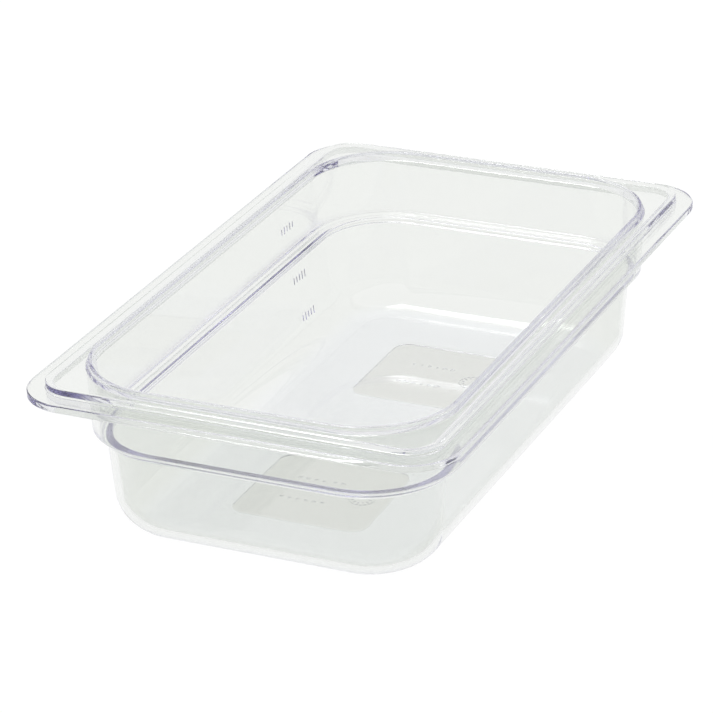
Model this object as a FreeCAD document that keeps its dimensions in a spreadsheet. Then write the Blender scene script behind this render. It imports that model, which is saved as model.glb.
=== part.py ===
import FreeCAD, Part
import math
import os

import Sketcher

# Clear quarter-size food pan, 65 mm deep, moulded in one piece.
# Origin: middle of the footprint, at the level the pan rests on.
# X runs along the long side, Y along the short side, Z up.

doc = FreeCAD.newDocument("FoodPan")
sheet = doc.addObject("Spreadsheet::Sheet", "Sizes")

# name, value in millimetres or degrees
sizes = [
    ("overallLength", 265.0),
    ("overallWidth", 162.0),
    ("overallHeight", 65.0),
    ("rimCornerRadius", 19.0),
    ("rimThickness", 2.8),
    ("rimEdgeRadius", 0.6),
    ("recessInset", 9.2),
    ("recessDepth", 2.9),
    ("plateauRise", 2.9),
    ("plateauInset", 6.6),
    ("plateauCornerRadius", 12.4),
    ("plateauEdgeRadius", 0.5),
    ("lipRise", 1.5),
    ("lipInset", 11.9),
    ("lipEdgeRadius", 0.7),
    ("wallInset", 11.4),
    ("wallThickness", 2.6),
    ("wallCornerRadius", 34.3),
    ("mouthEdgeRadius", 0.8),
    ("upperDraft", 2.2),
    ("lowerDraft", 4.8),
    ("shoulderDepth", 26.1),
    ("shoulderWidth", 4.6),
    ("shoulderEdgeRadius", 1.0),
    ("shoulderChamfer", 3.7),
    ("floorThickness", 2.6),
    ("baseEdgeRadius", 15.5),
    ("windowLength", 50.0),
    ("windowWidth", 52.0),
    ("windowSpacing", 104.0),
    ("windowCornerRadius", 6.0),
    ("windowDepth", 0.3),
]

for row, (name, value) in enumerate(sizes, start=1):
    sheet.set(f"A{row}", name)
    sheet.set(f"B{row}", str(value))
    sheet.setAlias(f"B{row}", name)
doc.recompute()


def originPlane(body, role):
    """The body's own origin plane with the given role."""
    for feature in body.Origin.OriginFeatures:
        if feature.Role == role:
            return feature
    raise ValueError(role)


def roundedRectangle(body, name, length, width, radius, height, middle="0"):
    """A rounded rectangle on a level plane. Sizes are expressions; middle is its X place."""
    sketch = body.newObject("Sketcher::SketchObject", name)
    sketch.AttachmentSupport = [(originPlane(body, "XY_Plane"), "")]
    sketch.MapMode = "FlatFace"
    sketch.setExpression("AttachmentOffset.Base.z", height)
    sketch.setExpression("AttachmentOffset.Base.x", middle)

    # first drawn at a plain size; the constraints below give the real one
    halfLength, halfWidth, corner = 60.0, 40.0, 10.0
    straightX = halfLength - corner
    straightY = halfWidth - corner
    quarter = math.pi / 2

    def point(x, y):
        return FreeCAD.Vector(x, y, 0)

    sides = [
        (point(-straightX, -halfWidth), point(straightX, -halfWidth)),
        (point(halfLength, -straightY), point(halfLength, straightY)),
        (point(straightX, halfWidth), point(-straightX, halfWidth)),
        (point(-halfLength, straightY), point(-halfLength, -straightY)),
    ]
    centres = [
        point(straightX, -straightY),
        point(straightX, straightY),
        point(-straightX, straightY),
        point(-straightX, -straightY),
    ]
    up = FreeCAD.Vector(0, 0, 1)
    for index in range(4):
        start = (index - 1) * quarter
        circle = Part.Circle(centres[index], up, corner)
        sketch.addGeometry(Part.LineSegment(*sides[index]), False)
        sketch.addGeometry(Part.ArcOfCircle(circle, start, start + quarter), False)
    # geometry 0, 2, 4, 6 are the sides; 1, 3, 5, 7 the corner after each side
    for index in range(4):
        side = 2 * index
        corner = side + 1
        following = (side + 2) % 8
        sketch.addConstraint(Sketcher.Constraint("Tangent", side, 2, corner, 1))
        sketch.addConstraint(Sketcher.Constraint("Tangent", corner, 2, following, 1))
    sketch.addConstraint(Sketcher.Constraint("Horizontal", 4))
    sketch.addConstraint(Sketcher.Constraint("Vertical", 6))
    for corner in (3, 5, 7):
        sketch.addConstraint(Sketcher.Constraint("Equal", 1, corner))
    # the bottom side and the right side are centred on the axes
    sketch.addConstraint(Sketcher.Constraint("Symmetric", 0, 1, 0, 2, -2))
    sketch.addConstraint(Sketcher.Constraint("Symmetric", 2, 1, 2, 2, -1))
    driven = [
        ("DistanceX", (6, 1, 2, 1), 2 * halfLength, length),
        ("DistanceY", (0, 1, 4, 2), 2 * halfWidth, width),
        ("Radius", (1,), 10.0, radius),
    ]
    for kind, where, value, expression in driven:
        number = sketch.addConstraint(Sketcher.Constraint(kind, *where, value))
        sketch.setExpression(f"Constraints[{number}]", expression)
    return sketch


def insetRing(body, name, inset, radius, height):
    """A rounded rectangle that lies a given distance inside the rim's outline."""
    length = f"<<Sizes>>.overallLength - 2 * ({inset})"
    width = f"<<Sizes>>.overallWidth - 2 * ({inset})"
    return roundedRectangle(body, name, length, width, radius, height)


def levelEdges(feature, height, sketch=None):
    """Names of a solid's level edges at a height; with a sketch, only those along its outline."""
    found = []
    for number, edge in enumerate(feature.Shape.Edges, start=1):
        points = edge.discretize(3)
        chosen = all(abs(point.z - height) < tolerance for point in points)
        if chosen and sketch:
            outline = sketch.Shape.copy()
            outline.translate(FreeCAD.Vector(0, 0, height - outline.BoundBox.ZMin))
            chosen = all(outline.distToShape(Part.Vertex(point))[0] < tolerance for point in points)
        if chosen:
            found.append(f"Edge{number}")
    return found


def fillet(body, name, base, edges, radius):
    """A fillet with its radius as an expression."""
    feature = body.newObject("PartDesign::Fillet", name)
    feature.Base = (base, edges)
    feature.setExpression("Radius", radius)
    doc.recompute()
    return feature


def extrusion(body, kind, name, sketch, length, taper="0", downwards=False):
    """A pad or pocket with its length and taper as expressions."""
    feature = body.newObject(kind, name)
    feature.Profile = sketch
    feature.Reversed = downwards if kind.endswith("Pad") else not downwards
    feature.setExpression("Length", length)
    feature.setExpression("TaperAngle", taper)
    doc.recompute()
    return feature


def sheetValue(name):
    """A size as a plain number."""
    return float(sheet.get(name))


tolerance = 1e-3

# the pan's section, as expressions on the sheet: heights, and how far inside the rim's outline
size = "<<Sizes>>."
upperSlope = f"tan({size}upperDraft * 1 deg)"
lowerSlope = f"tan({size}lowerDraft * 1 deg)"
topLevel = f"{size}overallHeight"
plateauLevel = f"({topLevel} - {size}lipRise)"
bandLevel = f"({plateauLevel} - {size}plateauRise)"
underRim = f"({bandLevel} - {size}rimThickness)"
recessLevel = f"({underRim} + {size}recessDepth)"
innerLedgeLevel = f"({topLevel} - {size}shoulderDepth)"
ledgeLevel = f"({innerLedgeLevel} - {size}wallThickness)"

upperAcross = f"({size}wallThickness / cos({size}upperDraft * 1 deg))"
lowerAcross = f"({size}wallThickness / cos({size}lowerDraft * 1 deg))"
insetAtRecess = f"({size}wallInset - {upperSlope} * {size}recessDepth)"
insetAtLedge = f"({size}wallInset + {upperSlope} * ({underRim} - {ledgeLevel}))"
insetUnderLedge = f"({insetAtLedge} + {size}shoulderWidth)"
insetAtMouth = f"({size}wallInset + {upperAcross} - {upperSlope} * ({topLevel} - {underRim}))"
insetUnderInnerLedge = f"({insetUnderLedge} + {lowerAcross} - {lowerSlope} * {size}wallThickness)"

# the corners of the walls share one upright centre line, so a ring further in has a smaller radius
cornerCentre = f"({size}wallInset + {size}wallCornerRadius)"

pan = doc.addObject("PartDesign::Body", "Pan")
pan.Label = "food_pan"

# rim: a flat outer band, the raised plateau that a lid sits on, and a lip round the mouth
rimRing = insetRing(pan, "RimRing", "0", f"{size}rimCornerRadius", underRim)
band = extrusion(pan, "PartDesign::Pad", "Band", rimRing, f"{size}rimThickness")
plateauRing = insetRing(pan, "PlateauRing", f"{size}plateauInset", f"{size}plateauCornerRadius", bandLevel)
plateau = extrusion(pan, "PartDesign::Pad", "Plateau", plateauRing, f"{size}plateauRise")
lipRing = insetRing(pan, "LipRing", f"{size}lipInset", f"{cornerCentre} - {size}lipInset", plateauLevel)
lip = extrusion(pan, "PartDesign::Pad", "Lip", lipRing, f"{size}lipRise")

# the rim is hollow underneath, so that the plateau is as thin as the band
recessCorner = f"{size}rimCornerRadius - {size}recessInset"
recessRing = insetRing(pan, "RecessRing", f"{size}recessInset", recessCorner, underRim)
recess = extrusion(pan, "PartDesign::Pocket", "Recess", recessRing, f"{size}recessDepth")

# outside: the upper wall hangs from the rim to the ledge, the lower wall from the ledge to the base
wallRing = insetRing(pan, "WallRing", insetAtRecess, f"{cornerCentre} - {insetAtRecess}", recessLevel)
wallDrop = f"{recessLevel} - {ledgeLevel}"
upperWall = extrusion(
    pan, "PartDesign::Pad", "UpperWall", wallRing, wallDrop, f"-{size}upperDraft", True
)
ledgeRing = insetRing(
    pan, "LedgeRing", insetUnderLedge, f"{cornerCentre} - {insetUnderLedge}", ledgeLevel
)
lowerWall = extrusion(
    pan, "PartDesign::Pad", "LowerWall", ledgeRing, ledgeLevel, f"-{size}lowerDraft", True
)

# inside: the same two walls, a wall thickness further in
mouthRing = insetRing(pan, "MouthRing", insetAtMouth, f"{cornerCentre} - {insetAtMouth}", topLevel)
upperHollow = extrusion(
    pan,
    "PartDesign::Pocket",
    "UpperHollow",
    mouthRing,
    f"{topLevel} - {innerLedgeLevel}",
    f"-{size}upperDraft",
    True,
)
innerLedgeRing = insetRing(
    pan, "InnerLedgeRing", insetUnderInnerLedge, f"{cornerCentre} - {insetUnderInnerLedge}", innerLedgeLevel
)
lowerHollow = extrusion(
    pan,
    "PartDesign::Pocket",
    "LowerHollow",
    innerLedgeRing,
    f"{innerLedgeLevel} - {size}floorThickness",
    f"-{size}lowerDraft",
    True,
)

# rounded and softened edges
topHeight = sheetValue("overallHeight")
plateauHeight = topHeight - sheetValue("lipRise")
bandHeight = plateauHeight - sheetValue("plateauRise")
underHeight = bandHeight - sheetValue("rimThickness")
floorHeight = sheetValue("floorThickness")
innerLedgeHeight = topHeight - sheetValue("shoulderDepth")
ledgeHeight = innerLedgeHeight - sheetValue("wallThickness")

floorRadius = f"({size}baseEdgeRadius - {size}wallThickness)"
roundFloor = fillet(pan, "RoundFloor", lowerHollow, levelEdges(lowerHollow, floorHeight), floorRadius)
roundBase = fillet(pan, "RoundBase", roundFloor, levelEdges(roundFloor, 0), f"{size}baseEdgeRadius")
innerLedgeEdges = levelEdges(roundBase, innerLedgeHeight)
roundInside = fillet(pan, "RoundInside", roundBase, innerLedgeEdges, f"{size}shoulderEdgeRadius")
# the outer edge of the shoulder is cut back at 45 degrees
footEdges = levelEdges(roundInside, ledgeHeight, ledgeRing)
outerEdges = [name for name in levelEdges(roundInside, ledgeHeight) if name not in footEdges]
cutShoulder = pan.newObject("PartDesign::Chamfer", "CutShoulder")
cutShoulder.Base = (roundInside, outerEdges)
cutShoulder.setExpression("Size", f"{size}shoulderChamfer")
doc.recompute()
roundMouth = fillet(
    pan, "RoundMouth", cutShoulder, levelEdges(cutShoulder, topHeight, mouthRing), f"{size}mouthEdgeRadius"
)
lipEdges = levelEdges(roundMouth, topHeight, lipRing)
roundLip = fillet(pan, "RoundLip", roundMouth, lipEdges, f"{size}lipEdgeRadius")
plateauEdges = levelEdges(roundLip, plateauHeight, plateauRing)
roundPlateau = fillet(pan, "RoundPlateau", roundLip, plateauEdges, f"{size}plateauEdgeRadius")
bandEdges = levelEdges(roundPlateau, bandHeight, rimRing) + levelEdges(roundPlateau, underHeight, rimRing)
roundBand = fillet(pan, "RoundBand", roundPlateau, bandEdges, f"{size}rimEdgeRadius")

# two shallow clear panels in the underside, one each side of the middle
panelRing = roundedRectangle(
    pan,
    "PanelRing",
    f"{size}windowLength",
    f"{size}windowWidth",
    f"{size}windowCornerRadius",
    "0",
    f"{size}windowSpacing / 2",
)
panel = extrusion(pan, "PartDesign::Pocket", "Panel", panelRing, f"{size}windowDepth")
panels = pan.newObject("PartDesign::Mirrored", "Panels")
panels.Originals = [panel]
panels.MirrorPlane = (originPlane(pan, "YZ_Plane"), [""])
pan.Tip = panels
doc.recompute()

subParts = [pan]
for item in doc.Objects:
    if "Invalid" in item.State or "Error" in item.State:
        raise RuntimeError(f"{item.Name} failed: {item.State}")
for part in subParts:
    if part.Shape.isNull() or not part.Shape.isValid() or len(part.Shape.Solids) != 1:
        raise RuntimeError(f"{part.Label} has no sound solid")
if panels.Shape.Volume > roundBand.Shape.Volume - 1.0:
    raise RuntimeError("the clear panels cut nothing")

os.makedirs("parts", exist_ok=True)
for part in subParts:
    part.Shape.exportStep(f"parts/{part.Label}.step")
    box = part.Shape.BoundBox
    print(part.Label, box, "volume", round(part.Shape.Volume, 1))
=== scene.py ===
import math
import random
import bpy
from mathutils import Matrix, Vector


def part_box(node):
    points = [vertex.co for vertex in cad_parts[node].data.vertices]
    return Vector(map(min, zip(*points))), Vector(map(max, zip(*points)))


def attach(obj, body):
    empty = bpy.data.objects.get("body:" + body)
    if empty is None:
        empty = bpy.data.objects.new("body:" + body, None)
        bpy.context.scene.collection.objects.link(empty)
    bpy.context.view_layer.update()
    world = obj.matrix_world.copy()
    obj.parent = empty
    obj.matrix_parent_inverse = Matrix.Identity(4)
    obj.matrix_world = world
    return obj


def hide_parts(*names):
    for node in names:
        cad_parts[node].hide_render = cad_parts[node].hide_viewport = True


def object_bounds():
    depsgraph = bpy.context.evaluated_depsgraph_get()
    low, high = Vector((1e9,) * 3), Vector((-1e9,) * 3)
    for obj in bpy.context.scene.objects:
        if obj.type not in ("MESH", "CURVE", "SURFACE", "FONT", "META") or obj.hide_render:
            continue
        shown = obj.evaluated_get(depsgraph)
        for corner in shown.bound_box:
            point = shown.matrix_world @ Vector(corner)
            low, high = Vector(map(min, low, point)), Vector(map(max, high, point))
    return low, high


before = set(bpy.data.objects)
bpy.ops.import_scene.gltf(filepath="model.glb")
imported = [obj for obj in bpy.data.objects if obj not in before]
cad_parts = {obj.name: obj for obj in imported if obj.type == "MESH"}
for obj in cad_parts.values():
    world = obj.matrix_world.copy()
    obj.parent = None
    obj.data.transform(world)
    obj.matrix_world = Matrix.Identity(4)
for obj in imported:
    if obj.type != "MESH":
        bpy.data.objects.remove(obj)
cadLow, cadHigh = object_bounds()
panLow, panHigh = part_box("food_pan")
mm = 0.001
print("frame loaded, pan", [round(side / mm, 2) for side in panHigh - panLow])


# ---- numbers a user would change: lengths in mm, drafts in degrees
pan = {
    "lipRise": 1.5,
    "lipInset": 11.9,
    "lipEdge": 0.7,
    "plateauRise": 2.9,
    "plateauInset": 6.6,
    "plateauEdge": 0.5,
    "stepFoot": 0.4,
    "rimThickness": 2.8,
    "rimCorner": 19.0,
    "rimEdge": 0.6,
    "recessInset": 9.2,
    "recessDepth": 2.9,
    "mouthEdge": 0.8,
    "wallInset": 11.4,
    "wallThickness": 2.6,
    "wallCorner": 34.3,
    "upperDraft": 2.2,
    "lowerDraft": 4.8,
    "shoulderDepth": 26.1,
    "shoulderWidth": 4.6,
    "shoulderEdge": 1.0,
    "shoulderChamfer": 3.7,
    "baseEdge": 15.5,
    "floorThickness": 2.6,
    "supportGap": 0.02,
    "arcSteps": 8,
    "middleArc": 2.0,  # rounds above this radius get twice the steps
    "wideArc": 5.0,  # and above this one, three times
    "cornerSteps": 32,
    "sideSteps": 10,
    "seamWeld": 0.01,
    "sharpAngle": 40.0,
}


def roundTurn(before, at, after, radius, steps, gap):
    # points of the arc that rounds one turn of the section, with a support point each side
    start = (before - at).normalized()
    end = (after - at).normalized()
    half = start.angle(end) / 2
    centre = at + (start + end).normalized() * (radius / math.sin(half))
    reach = radius / math.tan(half)
    first = at + start * reach - centre
    last = at + end * reach - centre
    sweep = math.pi - 2 * half
    arc = []
    for step in range(steps + 1):
        share = step / steps
        fromFirst, fromLast = math.sin(sweep * (1 - share)), math.sin(sweep * share)
        arc.append(centre + (first * fromFirst + last * fromLast) / math.sin(sweep))
    return [arc[0] + start * gap] + arc + [arc[-1] + end * gap]


def sectionOfPan(size):
    # (inset from the outline, height, corner radius), from the middle of the floor up, over the rim
    # and down to the middle of the base
    top = panHigh.z / mm
    halfWidth = panHigh.y / mm
    plateau = top - size["lipRise"]
    band = plateau - size["plateauRise"]
    under = band - size["rimThickness"]
    recess = under + size["recessDepth"]
    wall = size["wallThickness"]
    drafts = [math.radians(size[name]) for name in ("upperDraft", "lowerDraft")]
    upperSlope, lowerSlope = [math.tan(draft) for draft in drafts]
    upperAcross, lowerAcross = [wall / math.cos(draft) for draft in drafts]
    ledge = top - size["shoulderDepth"]
    ledgeUnder = ledge - wall
    mouth = size["wallInset"] + upperAcross - upperSlope * (top - under)
    ledgeIn = mouth + upperSlope * (top - ledge)
    ledgeOut = size["wallInset"] + upperSlope * (under - ledgeUnder)
    lowerOut = ledgeOut + size["shoulderWidth"]
    lowerIn = lowerOut + lowerAcross - lowerSlope * wall
    baseOut = lowerOut + lowerSlope * ledgeUnder
    baseIn = lowerIn + lowerSlope * (ledge - size["floorThickness"])
    wallCentre = size["wallInset"] + size["wallCorner"]
    rimCentre = size["rimCorner"]
    edge, foot, cut = size["shoulderEdge"], size["stepFoot"], size["shoulderChamfer"]
    # inset, height, rounding, distance from the outline to the centre of the plan's corner arc
    turns = [
        (halfWidth, size["floorThickness"], 0, halfWidth),
        (baseIn, size["floorThickness"], size["baseEdge"] - wall, wallCentre),
        (lowerIn, ledge, edge, wallCentre),
        (ledgeIn, ledge, edge, wallCentre),
        (mouth, top, size["mouthEdge"], wallCentre),
        (size["lipInset"], top, size["lipEdge"], wallCentre),
        (size["lipInset"], plateau, foot, wallCentre),
        (size["plateauInset"], plateau, size["plateauEdge"], rimCentre),
        (size["plateauInset"], band, foot, rimCentre),
        (0, band, size["rimEdge"], rimCentre),
        (0, under, size["rimEdge"], rimCentre),
        (size["recessInset"], under, foot, rimCentre),
        (size["recessInset"], recess, foot, rimCentre),
        (size["wallInset"] - upperSlope * size["recessDepth"], recess, foot, wallCentre),
        (ledgeOut - upperSlope * cut, ledgeUnder + cut, foot, wallCentre),
        (ledgeOut + cut, ledgeUnder, foot, wallCentre),
        (lowerOut, ledgeUnder, foot, wallCentre),
        (baseOut, 0, size["baseEdge"], wallCentre),
        (halfWidth, 0, 0, halfWidth),
    ]
    points = []
    for index, (inset, height, radius, centre) in enumerate(turns):
        if radius == 0:
            points.append((inset, height, centre - inset))
            continue
        finer = 3 if radius > size["wideArc"] else 2 if radius > size["middleArc"] else 1
        arc = roundTurn(
            Vector(turns[index - 1][:2]), Vector((inset, height)), Vector(turns[index + 1][:2]),
            radius, size["arcSteps"] * finer, size["supportGap"],
        )
        points += [(point.x, point.y, centre - point.x) for point in arc]
    return points


def addNode(tree, kind, inputs=(), **settings):
    # a node with its settings made and its inputs joined or filled in, in order
    node = tree.nodes.new(kind)
    for name, value in settings.items():
        setattr(node, name, value)
    for key, value in (inputs.items() if isinstance(inputs, dict) else enumerate(inputs)):
        if value is None:
            continue
        if isinstance(value, bpy.types.NodeSocket):
            tree.links.new(value, node.inputs[key])
        else:
            node.inputs[key].default_value = value
    return node


def maths(tree, operation, *values):
    return addNode(tree, "ShaderNodeMath", values, operation=operation).outputs[0]


def sweptPanTree(material):
    # sweeps a section round a rounded rectangle: one grid column for each station round the pan
    tree = bpy.data.node_groups.new("sweptPan", "GeometryNodeTree")
    face = tree.interface
    face.new_socket("Geometry", in_out="INPUT", socket_type="NodeSocketGeometry")
    face.new_socket("Geometry", in_out="OUTPUT", socket_type="NodeSocketGeometry")
    for name, kind in (
        ("Half Length", "NodeSocketFloat"), ("Half Width", "NodeSocketFloat"),
        ("Corner Steps", "NodeSocketInt"), ("Side Steps", "NodeSocketInt"),
        ("Seam Weld", "NodeSocketFloat"),
    ):
        face.new_socket(name, in_out="INPUT", socket_type=kind)
    given = addNode(tree, "NodeGroupInput").outputs
    cornerSteps, sideSteps = given["Corner Steps"], given["Side Steps"]
    quarter = maths(tree, "ADD", cornerSteps, sideSteps)
    stations = maths(tree, "MULTIPLY_ADD", quarter, 4.0, 1.0)
    counted = addNode(tree, "GeometryNodeAttributeDomainSize", [given["Geometry"]])
    sectionSize = counted.outputs["Point Count"]
    grid = addNode(tree, "GeometryNodeMeshGrid", {"Vertices X": stations, "Vertices Y": sectionSize})
    index = addNode(tree, "GeometryNodeInputIndex").outputs[0]
    station = maths(tree, "FLOOR", maths(tree, "DIVIDE", maths(tree, "ADD", index, 0.5), sectionSize))
    along = maths(tree, "SUBTRACT", index, maths(tree, "MULTIPLY", station, sectionSize))

    def sectionValue(name):
        named = addNode(tree, "GeometryNodeInputNamedAttribute", [name], data_type="FLOAT")
        sample = addNode(tree, "GeometryNodeSampleIndex", data_type="FLOAT", domain="POINT")
        tree.links.new(given["Geometry"], sample.inputs["Geometry"])
        tree.links.new(named.outputs["Attribute"], sample.inputs["Value"])
        tree.links.new(along, sample.inputs["Index"])
        return sample.outputs["Value"]

    inset, height, corner = [sectionValue(name) for name in ("inset", "height", "corner")]
    side = maths(tree, "FLOOR", maths(tree, "DIVIDE", maths(tree, "ADD", station, 0.5), quarter))
    step = maths(tree, "SUBTRACT", station, maths(tree, "MULTIPLY", side, quarter))
    turn = maths(tree, "MINIMUM", maths(tree, "DIVIDE", step, cornerSteps), 1.0)
    pastCorner = maths(tree, "MAXIMUM", maths(tree, "SUBTRACT", step, cornerSteps), 0.0)
    slide = maths(tree, "DIVIDE", pastCorner, sideSteps)
    angle = maths(tree, "MULTIPLY", maths(tree, "ADD", side, turn), math.pi / 2)

    def cornerCentre(number, trig, half):
        # signed distance of one corner's centre from the middle of the pan
        diagonal = maths(tree, "MULTIPLY", maths(tree, "ADD", number, 0.5), math.pi / 2)
        sign = maths(tree, "SIGN", maths(tree, trig, diagonal))
        reach = maths(tree, "SUBTRACT", maths(tree, "SUBTRACT", half, inset), corner)
        return maths(tree, "MULTIPLY", sign, reach)

    nextSide = maths(tree, "ADD", side, 1.0)
    place = []
    for trig, half in (("COSINE", given["Half Length"]), ("SINE", given["Half Width"])):
        here, there = cornerCentre(side, trig, half), cornerCentre(nextSide, trig, half)
        gone = maths(tree, "MULTIPLY", slide, maths(tree, "SUBTRACT", there, here))
        centre = maths(tree, "ADD", here, gone)
        place.append(maths(tree, "ADD", centre, maths(tree, "MULTIPLY", corner, maths(tree, trig, angle))))
    position = addNode(tree, "ShaderNodeCombineXYZ", [place[0], place[1], height])
    moved = addNode(tree, "GeometryNodeSetPosition", {
        "Geometry": grid.outputs["Mesh"], "Position": position.outputs[0],
    })
    welded = addNode(tree, "GeometryNodeMergeByDistance", {
        "Geometry": moved.outputs[0], "Distance": given["Seam Weld"],
    })
    real = addNode(tree, "GeometryNodeRealizeInstances", [welded.outputs[0]])
    outwards = addNode(tree, "GeometryNodeFlipFaces", {"Mesh": real.outputs[0]})
    painted = addNode(tree, "GeometryNodeSetMaterial", {
        "Geometry": outwards.outputs[0], "Material": material,
    })
    addNode(tree, "NodeGroupOutput", [painted.outputs[0]])
    return tree


def applyNodes(thing, tree, values):
    # runs a tree on an object, keeps the result as a plain mesh and takes the modifier off again
    modifier = thing.modifiers.new("rule", "NODES")
    modifier.node_group = tree
    for socket in tree.interface.items_tree:
        if socket.name in values:
            modifier[socket.identifier] = values[socket.name]
    bpy.context.view_layer.update()
    evaluated = thing.evaluated_get(bpy.context.evaluated_depsgraph_get())
    result = bpy.data.meshes.new_from_object(evaluated)
    thing.modifiers.remove(modifier)
    thing.data = result
    return result


def addObject(name, mesh):
    thing = bpy.data.objects.new(name, mesh)
    bpy.context.scene.collection.objects.link(thing)
    return thing


# the two clear panels pressed into the underside, and the small marks that the mould leaves
panels = {
    "length": 50.0,
    "width": 52.0,
    "spacing": 104.0,
    "corner": 6.0,
    "depth": 0.3,
    "cutterBelow": 1.0,
    "cornerSteps": 8,
}
marks = {
    "depth": 0.25,
    "stroke": 0.5,
    "strokeLength": 1.1,
    "dialPlace": -15,  # from the middle of the panel, across the pan
    "dialRadius": 5.0,
    "dialSegments": 20,
    "dialTicks": 12,
    "tickRing": 0.72,  # share of the dial's radius
    "rowPlaces": (-8, 8),
    "rowShift": 6,
    "squareRow": 6,
    "squareSide": (0.8, 1.5),
    "squareShape": (0.7, 1.6),
    "squareTurn": 0.2,
    "pitch": 3.2,
    # along the pan and up from its base; a negative place is on the other long wall
    "wallPlaces": ((64, 50), (62, 31), (66, 14), (-64, 53)),
    "wallTicks": 5,
    "wallPitch": 2.4,
    "wallLength": (2.2, 3.4),
    "seed": 11,
}


def panelCutter(size):
    # one closed rounded block for each clear panel, standing through the underside
    points, faces = [], []
    steps = size["cornerSteps"]
    for middle in (-size["spacing"] / 2, size["spacing"] / 2):
        ring = []
        for corner in range(4):
            for step in range(steps + 1):
                angle = math.pi / 2 * (corner + step / steps)
                quadrant = math.pi / 2 * (corner + 0.5)
                reachX = math.copysign(size["length"] / 2 - size["corner"], math.cos(quadrant))
                reachY = math.copysign(size["width"] / 2 - size["corner"], math.sin(quadrant))
                ring.append((
                    middle + reachX + size["corner"] * math.cos(angle),
                    reachY + size["corner"] * math.sin(angle),
                ))
        first, count = len(points), len(ring)
        for height in (-size["cutterBelow"], size["depth"]):
            points += [(x * mm, y * mm, height * mm) for x, y in ring]
        faces.append([first + index for index in reversed(range(count))])
        faces.append([first + count + index for index in range(count)])
        for index in range(count):
            after = (index + 1) % count
            faces.append([first + index, first + after, first + count + after, first + count + index])
    mesh = bpy.data.meshes.new("panelCutter")
    mesh.from_pydata(points, [], faces)
    return mesh


def markPoints(size, panel, section):
    # a point for each small mark, with the size and turn of its block: dials and rows of squares under
    # the clear panels, and groups of short ticks on the inner long walls
    chance = random.Random(size["seed"])
    spots, sizes, turns = [], [], []

    def addMark(spot, block, turn):
        spots.append([value * mm for value in spot])
        sizes.append([value * mm for value in block])
        turns.append(turn)

    tall = 2 * (size["depth"] + panel["depth"])
    ringBlock = (size["stroke"], size["strokeLength"], tall)
    tickBlock = (size["strokeLength"], size["stroke"], tall)
    rings = (
        (size["dialSegments"], size["dialRadius"], ringBlock),
        (size["dialTicks"], size["dialRadius"] * size["tickRing"], tickBlock),
    )
    for middle in (-panel["spacing"] / 2, panel["spacing"] / 2):
        for count, radius, block in rings:
            for index in range(count):
                angle = 2 * math.pi * index / count
                place = (middle + radius * math.cos(angle), size["dialPlace"] + radius * math.sin(angle), 0)
                addMark(place, block, (0, 0, angle))
        for row in size["rowPlaces"]:
            for index in range(size["squareRow"]):
                side = chance.uniform(*size["squareSide"])
                across = -size["pitch"] * (size["squareRow"] / 2 - index) + size["rowShift"]
                block = (side, side * chance.uniform(*size["squareShape"]), tall)
                turn = (0, 0, chance.uniform(-size["squareTurn"], size["squareTurn"]))
                addMark((middle + row, across, 0), block, turn)
    highest = max(point[1] for point in section)
    inner = section[:next(index for index, point in enumerate(section) if point[1] > highest - mm)]
    for along, height in size["wallPlaces"]:
        side = 1 if along > 0 else -1
        lower, higher = next(
            (below, above) for below, above in zip(inner, inner[1:]) if below[1] <= height < above[1]
        )
        share = (height - lower[1]) / (higher[1] - lower[1])
        inset = lower[0] + (higher[0] - lower[0]) * share
        lean = math.atan2(lower[0] - higher[0], higher[1] - lower[1])
        for index in range(size["wallTicks"]):
            length = chance.uniform(*size["wallLength"])
            shift = size["wallPitch"] * (index - size["wallTicks"] / 2)
            place = (along + shift, side * (panHigh.y / mm - inset), height)
            addMark(place, (size["stroke"], 2 * size["depth"], length), (-side * lean, 0, 0))
    mesh = bpy.data.meshes.new("markPoints")
    mesh.from_pydata(spots, [], [])
    for name, values in (("block", sizes), ("turn", turns)):
        attribute = mesh.attributes.new(name, "FLOAT_VECTOR", "POINT")
        attribute.data.foreach_set("vector", [value for row in values for value in row])
    return mesh


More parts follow.
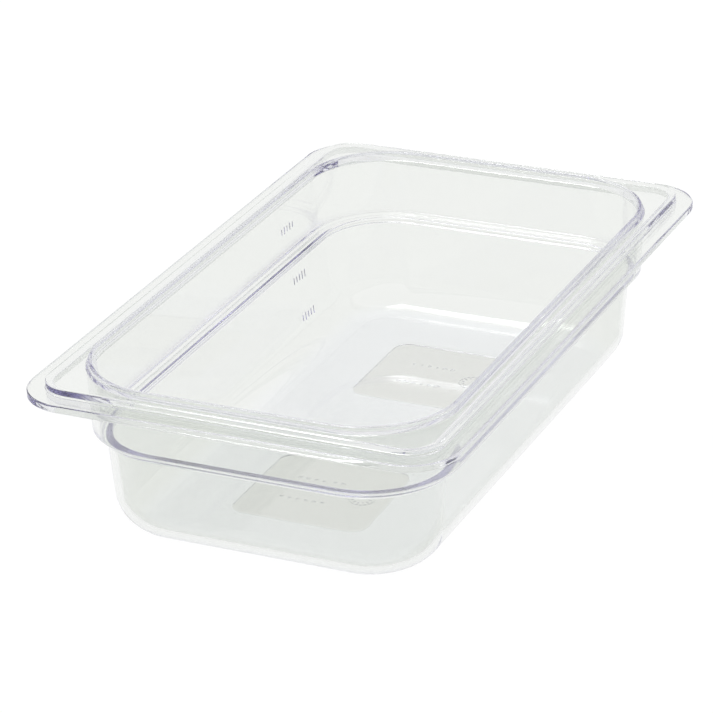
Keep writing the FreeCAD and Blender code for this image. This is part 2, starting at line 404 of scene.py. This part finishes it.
def pressedTree(material):
    # cuts the panels and a small block at every mark out of the pan
    tree = bpy.data.node_groups.new("pressedMarks", "GeometryNodeTree")
    face = tree.interface
    face.new_socket("Geometry", in_out="INPUT", socket_type="NodeSocketGeometry")
    face.new_socket("Geometry", in_out="OUTPUT", socket_type="NodeSocketGeometry")
    for name in ("Panels", "Marks"):
        face.new_socket(name, in_out="INPUT", socket_type="NodeSocketObject")
    given = addNode(tree, "NodeGroupInput").outputs
    blocks, marksHere = [
        addNode(tree, "GeometryNodeObjectInfo", [given[name]]).outputs["Geometry"]
        for name in ("Panels", "Marks")
    ]
    size, turn = [
        addNode(tree, "GeometryNodeInputNamedAttribute", [name], data_type="FLOAT_VECTOR")
        .outputs["Attribute"]
        for name in ("block", "turn")
    ]
    cube = addNode(tree, "GeometryNodeMeshCube", {"Size": (1, 1, 1)})
    placed = addNode(tree, "GeometryNodeInstanceOnPoints", {
        "Points": marksHere, "Instance": cube.outputs[0], "Rotation": turn, "Scale": size,
    })
    cutters = addNode(tree, "GeometryNodeRealizeInstances", [placed.outputs[0]])
    panelCut = addNode(tree, "GeometryNodeMeshBoolean", operation="DIFFERENCE", solver="EXACT")
    tree.links.new(given["Geometry"], panelCut.inputs["Mesh 1"])
    tree.links.new(blocks, panelCut.inputs["Mesh 2"])
    markCut = addNode(tree, "GeometryNodeMeshBoolean", operation="DIFFERENCE", solver="EXACT")
    markCut.inputs["Self Intersection"].default_value = True
    tree.links.new(panelCut.outputs[0], markCut.inputs["Mesh 1"])
    tree.links.new(cutters.outputs[0], markCut.inputs["Mesh 2"])
    real = addNode(tree, "GeometryNodeRealizeInstances", [markCut.outputs[0]])
    painted = addNode(tree, "GeometryNodeSetMaterial", {
        "Geometry": real.outputs[0], "Material": material,
    })
    addNode(tree, "NodeGroupOutput", [painted.outputs[0]])
    return tree


# tints are what one face lets through, but the frosted band and the clear panels also get painted light and
# painted shade in their colour; the absorption works on the way inside the plastic
plastic = {
    "tint": (0.862, 0.878, 0.850),
    # painted light: the lighter, cooler colour of the frosted underside band
    "paintedFrostLight": (0.925, 0.945, 0.960),
    # painted shade: the darker, warmer colour of the two clear panels
    "paintedPanelShade": (0.715, 0.722, 0.692),
    "frostHeight": 4.0,
    "polish": 0.03,
    "frost": 0.20,
    "refraction": 1.585,
    "absorption": (0.54, 0.48, 0.86),
    "density": 5.0,
}


def mixed(tree, factor, first, second):
    # one colour over another, each of them a colour or a socket
    blend = tree.nodes.new("ShaderNodeMix")
    blend.data_type = "RGBA"
    weight, under, over = [blend.inputs[index] for index in (0, 6, 7)]
    tree.links.new(factor, weight)
    for socket, colour in ((under, first), (over, second)):
        if isinstance(colour, bpy.types.NodeSocket):
            tree.links.new(colour, socket)
        else:
            socket.default_value = (*colour, 1)
    return blend.outputs[2]


def clearPlastic(look):
    material = bpy.data.materials.new("clearPlastic")
    material.use_nodes = True
    tree = material.node_tree
    shader = tree.nodes["Principled BSDF"]
    shader.inputs["Transmission Weight"].default_value = 1.0
    shader.inputs["IOR"].default_value = look["refraction"]
    coordinates = addNode(tree, "ShaderNodeTexCoord").outputs["Object"]
    place = addNode(tree, "ShaderNodeSeparateXYZ", [coordinates])
    across, side = [maths(tree, "ABSOLUTE", place.outputs[axis]) for axis in ("X", "Y")]
    fromMiddle = maths(tree, "ABSOLUTE", maths(tree, "SUBTRACT", across, panels["spacing"] / 2 * mm))
    beyond = []
    for distance, extent in ((fromMiddle, panels["length"]), (side, panels["width"])):
        straight = (extent / 2 - panels["corner"]) * mm
        beyond.append(maths(tree, "MAXIMUM", maths(tree, "SUBTRACT", distance, straight), 0.0))
    squares = [maths(tree, "MULTIPLY", past, past) for past in beyond]
    inWindow = maths(tree, "LESS_THAN", maths(tree, "ADD", *squares), (panels["corner"] * mm) ** 2)
    low = addNode(
        tree, "ShaderNodeMapRange", [place.outputs["Z"], 0.0, look["frostHeight"] * mm, 1.0, 0.0],
        interpolation_type="SMOOTHSTEP",
    ).outputs[0]
    frosted = maths(tree, "MULTIPLY", low, maths(tree, "SUBTRACT", 1.0, inWindow))
    rough = addNode(tree, "ShaderNodeMapRange", [frosted, 0.0, 1.0, look["polish"], look["frost"]])
    tree.links.new(rough.outputs[0], shader.inputs["Roughness"])

    # painted light and shade: the frosted underside band is coloured lighter and cooler as painted
    # scattered light, and the two clear panels are coloured darker and a little warmer as painted shade
    panelShadeMask = maths(tree, "MULTIPLY", low, inWindow)
    paintedFrostTone = mixed(tree, frosted, look["tint"], look["paintedFrostLight"])
    tone = mixed(tree, panelShadeMask, paintedFrostTone, look["paintedPanelShade"])
    tree.links.new(tone, shader.inputs["Base Color"])
    absorption = addNode(tree, "ShaderNodeVolumeAbsorption", {
        "Color": (*look["absorption"], 1), "Density": look["density"],
    })
    output = tree.nodes["Material Output"]
    tree.links.new(absorption.outputs[0], output.inputs["Volume"])
    return material


clear = clearPlastic(plastic)

# ---- the pan
section = sectionOfPan(pan)
sectionMesh = bpy.data.meshes.new("panSection")
sectionMesh.from_pydata([(0, 0, 0)] * len(section), [], [])
for column, name in enumerate(("inset", "height", "corner")):
    attribute = sectionMesh.attributes.new(name, "FLOAT", "POINT")
    attribute.data.foreach_set("value", [max(point[column], 0.0) * mm for point in section])
foodPan = addObject("foodPan", sectionMesh)
applyNodes(foodPan, sweptPanTree(clear), {
    "Half Length": panHigh.x, "Half Width": panHigh.y,
    "Corner Steps": pan["cornerSteps"], "Side Steps": pan["sideSteps"], "Seam Weld": pan["seamWeld"] * mm,
})
cutters = [
    addObject("panelCutter", panelCutter(panels)),
    addObject("markPoints", markPoints(marks, panels, section)),
]
bpy.context.view_layer.update()
applyNodes(foodPan, pressedTree(clear), {"Panels": cutters[0], "Marks": cutters[1]})
for cutter in cutters:
    bpy.data.objects.remove(cutter)
mesh = foodPan.data
mesh.shade_smooth()
mesh.set_sharp_from_angle(angle=math.radians(pan["sharpAngle"]))
print("pan swept and pressed,", len(mesh.vertices), "vertices", len(mesh.polygons), "faces")

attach(foodPan, "root")
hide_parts("food_pan")

# ---- floor, light and camera
stageLook = {
    "floorGlow": 0.98, "floorColour": 0.04, "floorRoughness": 0.9, "floorReach": 6.0, "floorGap": 0.0003,
    "sky": 1.0, "horizon": 0.6, "horizonTop": 0.08,
    "topPlace": (0.25, 0.35, 1.2), "topSize": (0.5, 0.3), "topPower": 3.0,
}


def plainFloor(look):
    mesh = bpy.data.meshes.new("floor")
    reach = look["floorReach"]
    corners = [(-reach, -reach, 0), (reach, -reach, 0), (reach, reach, 0), (-reach, reach, 0)]
    mesh.from_pydata(corners, [], [(0, 1, 2, 3)])
    mesh.transform(Matrix.Translation((0, 0, cadLow.z - look["floorGap"])))
    material = bpy.data.materials.new("paleFloor")
    material.use_nodes = True
    shader = material.node_tree.nodes["Principled BSDF"]
    shader.inputs["Base Color"].default_value = (look["floorColour"],) * 3 + (1,)
    shader.inputs["Roughness"].default_value = look["floorRoughness"]
    shader.inputs["Specular IOR Level"].default_value = 0.0
    shader.inputs["Emission Color"].default_value = (1, 1, 1, 1)
    shader.inputs["Emission Strength"].default_value = look["floorGlow"]
    mesh.materials.append(material)
    floor = addObject("floor", mesh)


plainFloor(stageLook)

world = bpy.data.worlds.new("studio")
world.use_nodes = True
worldTree = world.node_tree
direction = addNode(worldTree, "ShaderNodeTexCoord").outputs["Generated"]
lift = addNode(worldTree, "ShaderNodeSeparateXYZ", [direction]).outputs["Z"]
glow = addNode(
    worldTree, "ShaderNodeMapRange",
    [lift, 0.0, stageLook["horizonTop"], stageLook["horizon"], stageLook["sky"]],
    interpolation_type="SMOOTHSTEP",
)
worldTree.links.new(glow.outputs[0], worldTree.nodes["Background"].inputs["Color"])
bpy.context.scene.world = world


def softLight(name, place, target, size, power):
    data = bpy.data.lights.new(name, "AREA")
    data.shape = "RECTANGLE"
    data.size, data.size_y = size
    data.energy = power
    light = addObject(name, data)
    aim = Vector(target) - Vector(place)
    light.matrix_world = Matrix.Translation(place) @ aim.to_track_quat("-Z", "Y").to_matrix().to_4x4()


softLight("topLight", stageLook["topPlace"], (0, 0, 0), stageLook["topSize"], stageLook["topPower"])

camera = {
    "azimuth": -65.096, "elevation": 24.515, "roll": -1.695,
    "distance": 1226.1, "target": (-58.26, -17.67), "lens": 176.6070, "sensor": 36.0, "clipStart": 0.01,
}


def lookingCamera(view):
    azimuth, elevation, roll = [math.radians(view[name]) for name in ("azimuth", "elevation", "roll")]
    back = Vector((
        math.sin(azimuth) * math.cos(elevation),
        -math.cos(azimuth) * math.cos(elevation),
        math.sin(elevation),
    ))
    right = Vector((math.cos(azimuth), math.sin(azimuth), 0))
    up = back.cross(right)
    turnedRight = right * math.cos(roll) + up * math.sin(roll)
    turnedUp = up * math.cos(roll) - right * math.sin(roll)
    bandTop = panHigh.z - (pan["plateauRise"] + pan["lipRise"]) * mm
    target = Vector((view["target"][0] * mm, view["target"][1] * mm, bandTop))
    place = target + back * view["distance"] * mm
    data = bpy.data.cameras.new("camera")
    data.sensor_width = view["sensor"]
    data.lens = view["lens"]
    data.clip_start = view["clipStart"]
    thing = addObject("camera", data)
    matrix = Matrix((turnedRight, turnedUp, back)).transposed().to_4x4()
    matrix.translation = place
    thing.matrix_world = matrix
    bpy.context.scene.camera = thing


lookingCamera(camera)
bpy.context.scene.view_settings.view_transform = "Standard"

# light turns many times inside the clear rim before it leaves
lightPath = {"max_bounces": 64, "glossy_bounces": 64, "transmission_bounces": 64}
for name, count in lightPath.items():
    setattr(bpy.context.scene.cycles, name, count)

print("camera, light and floor ready")
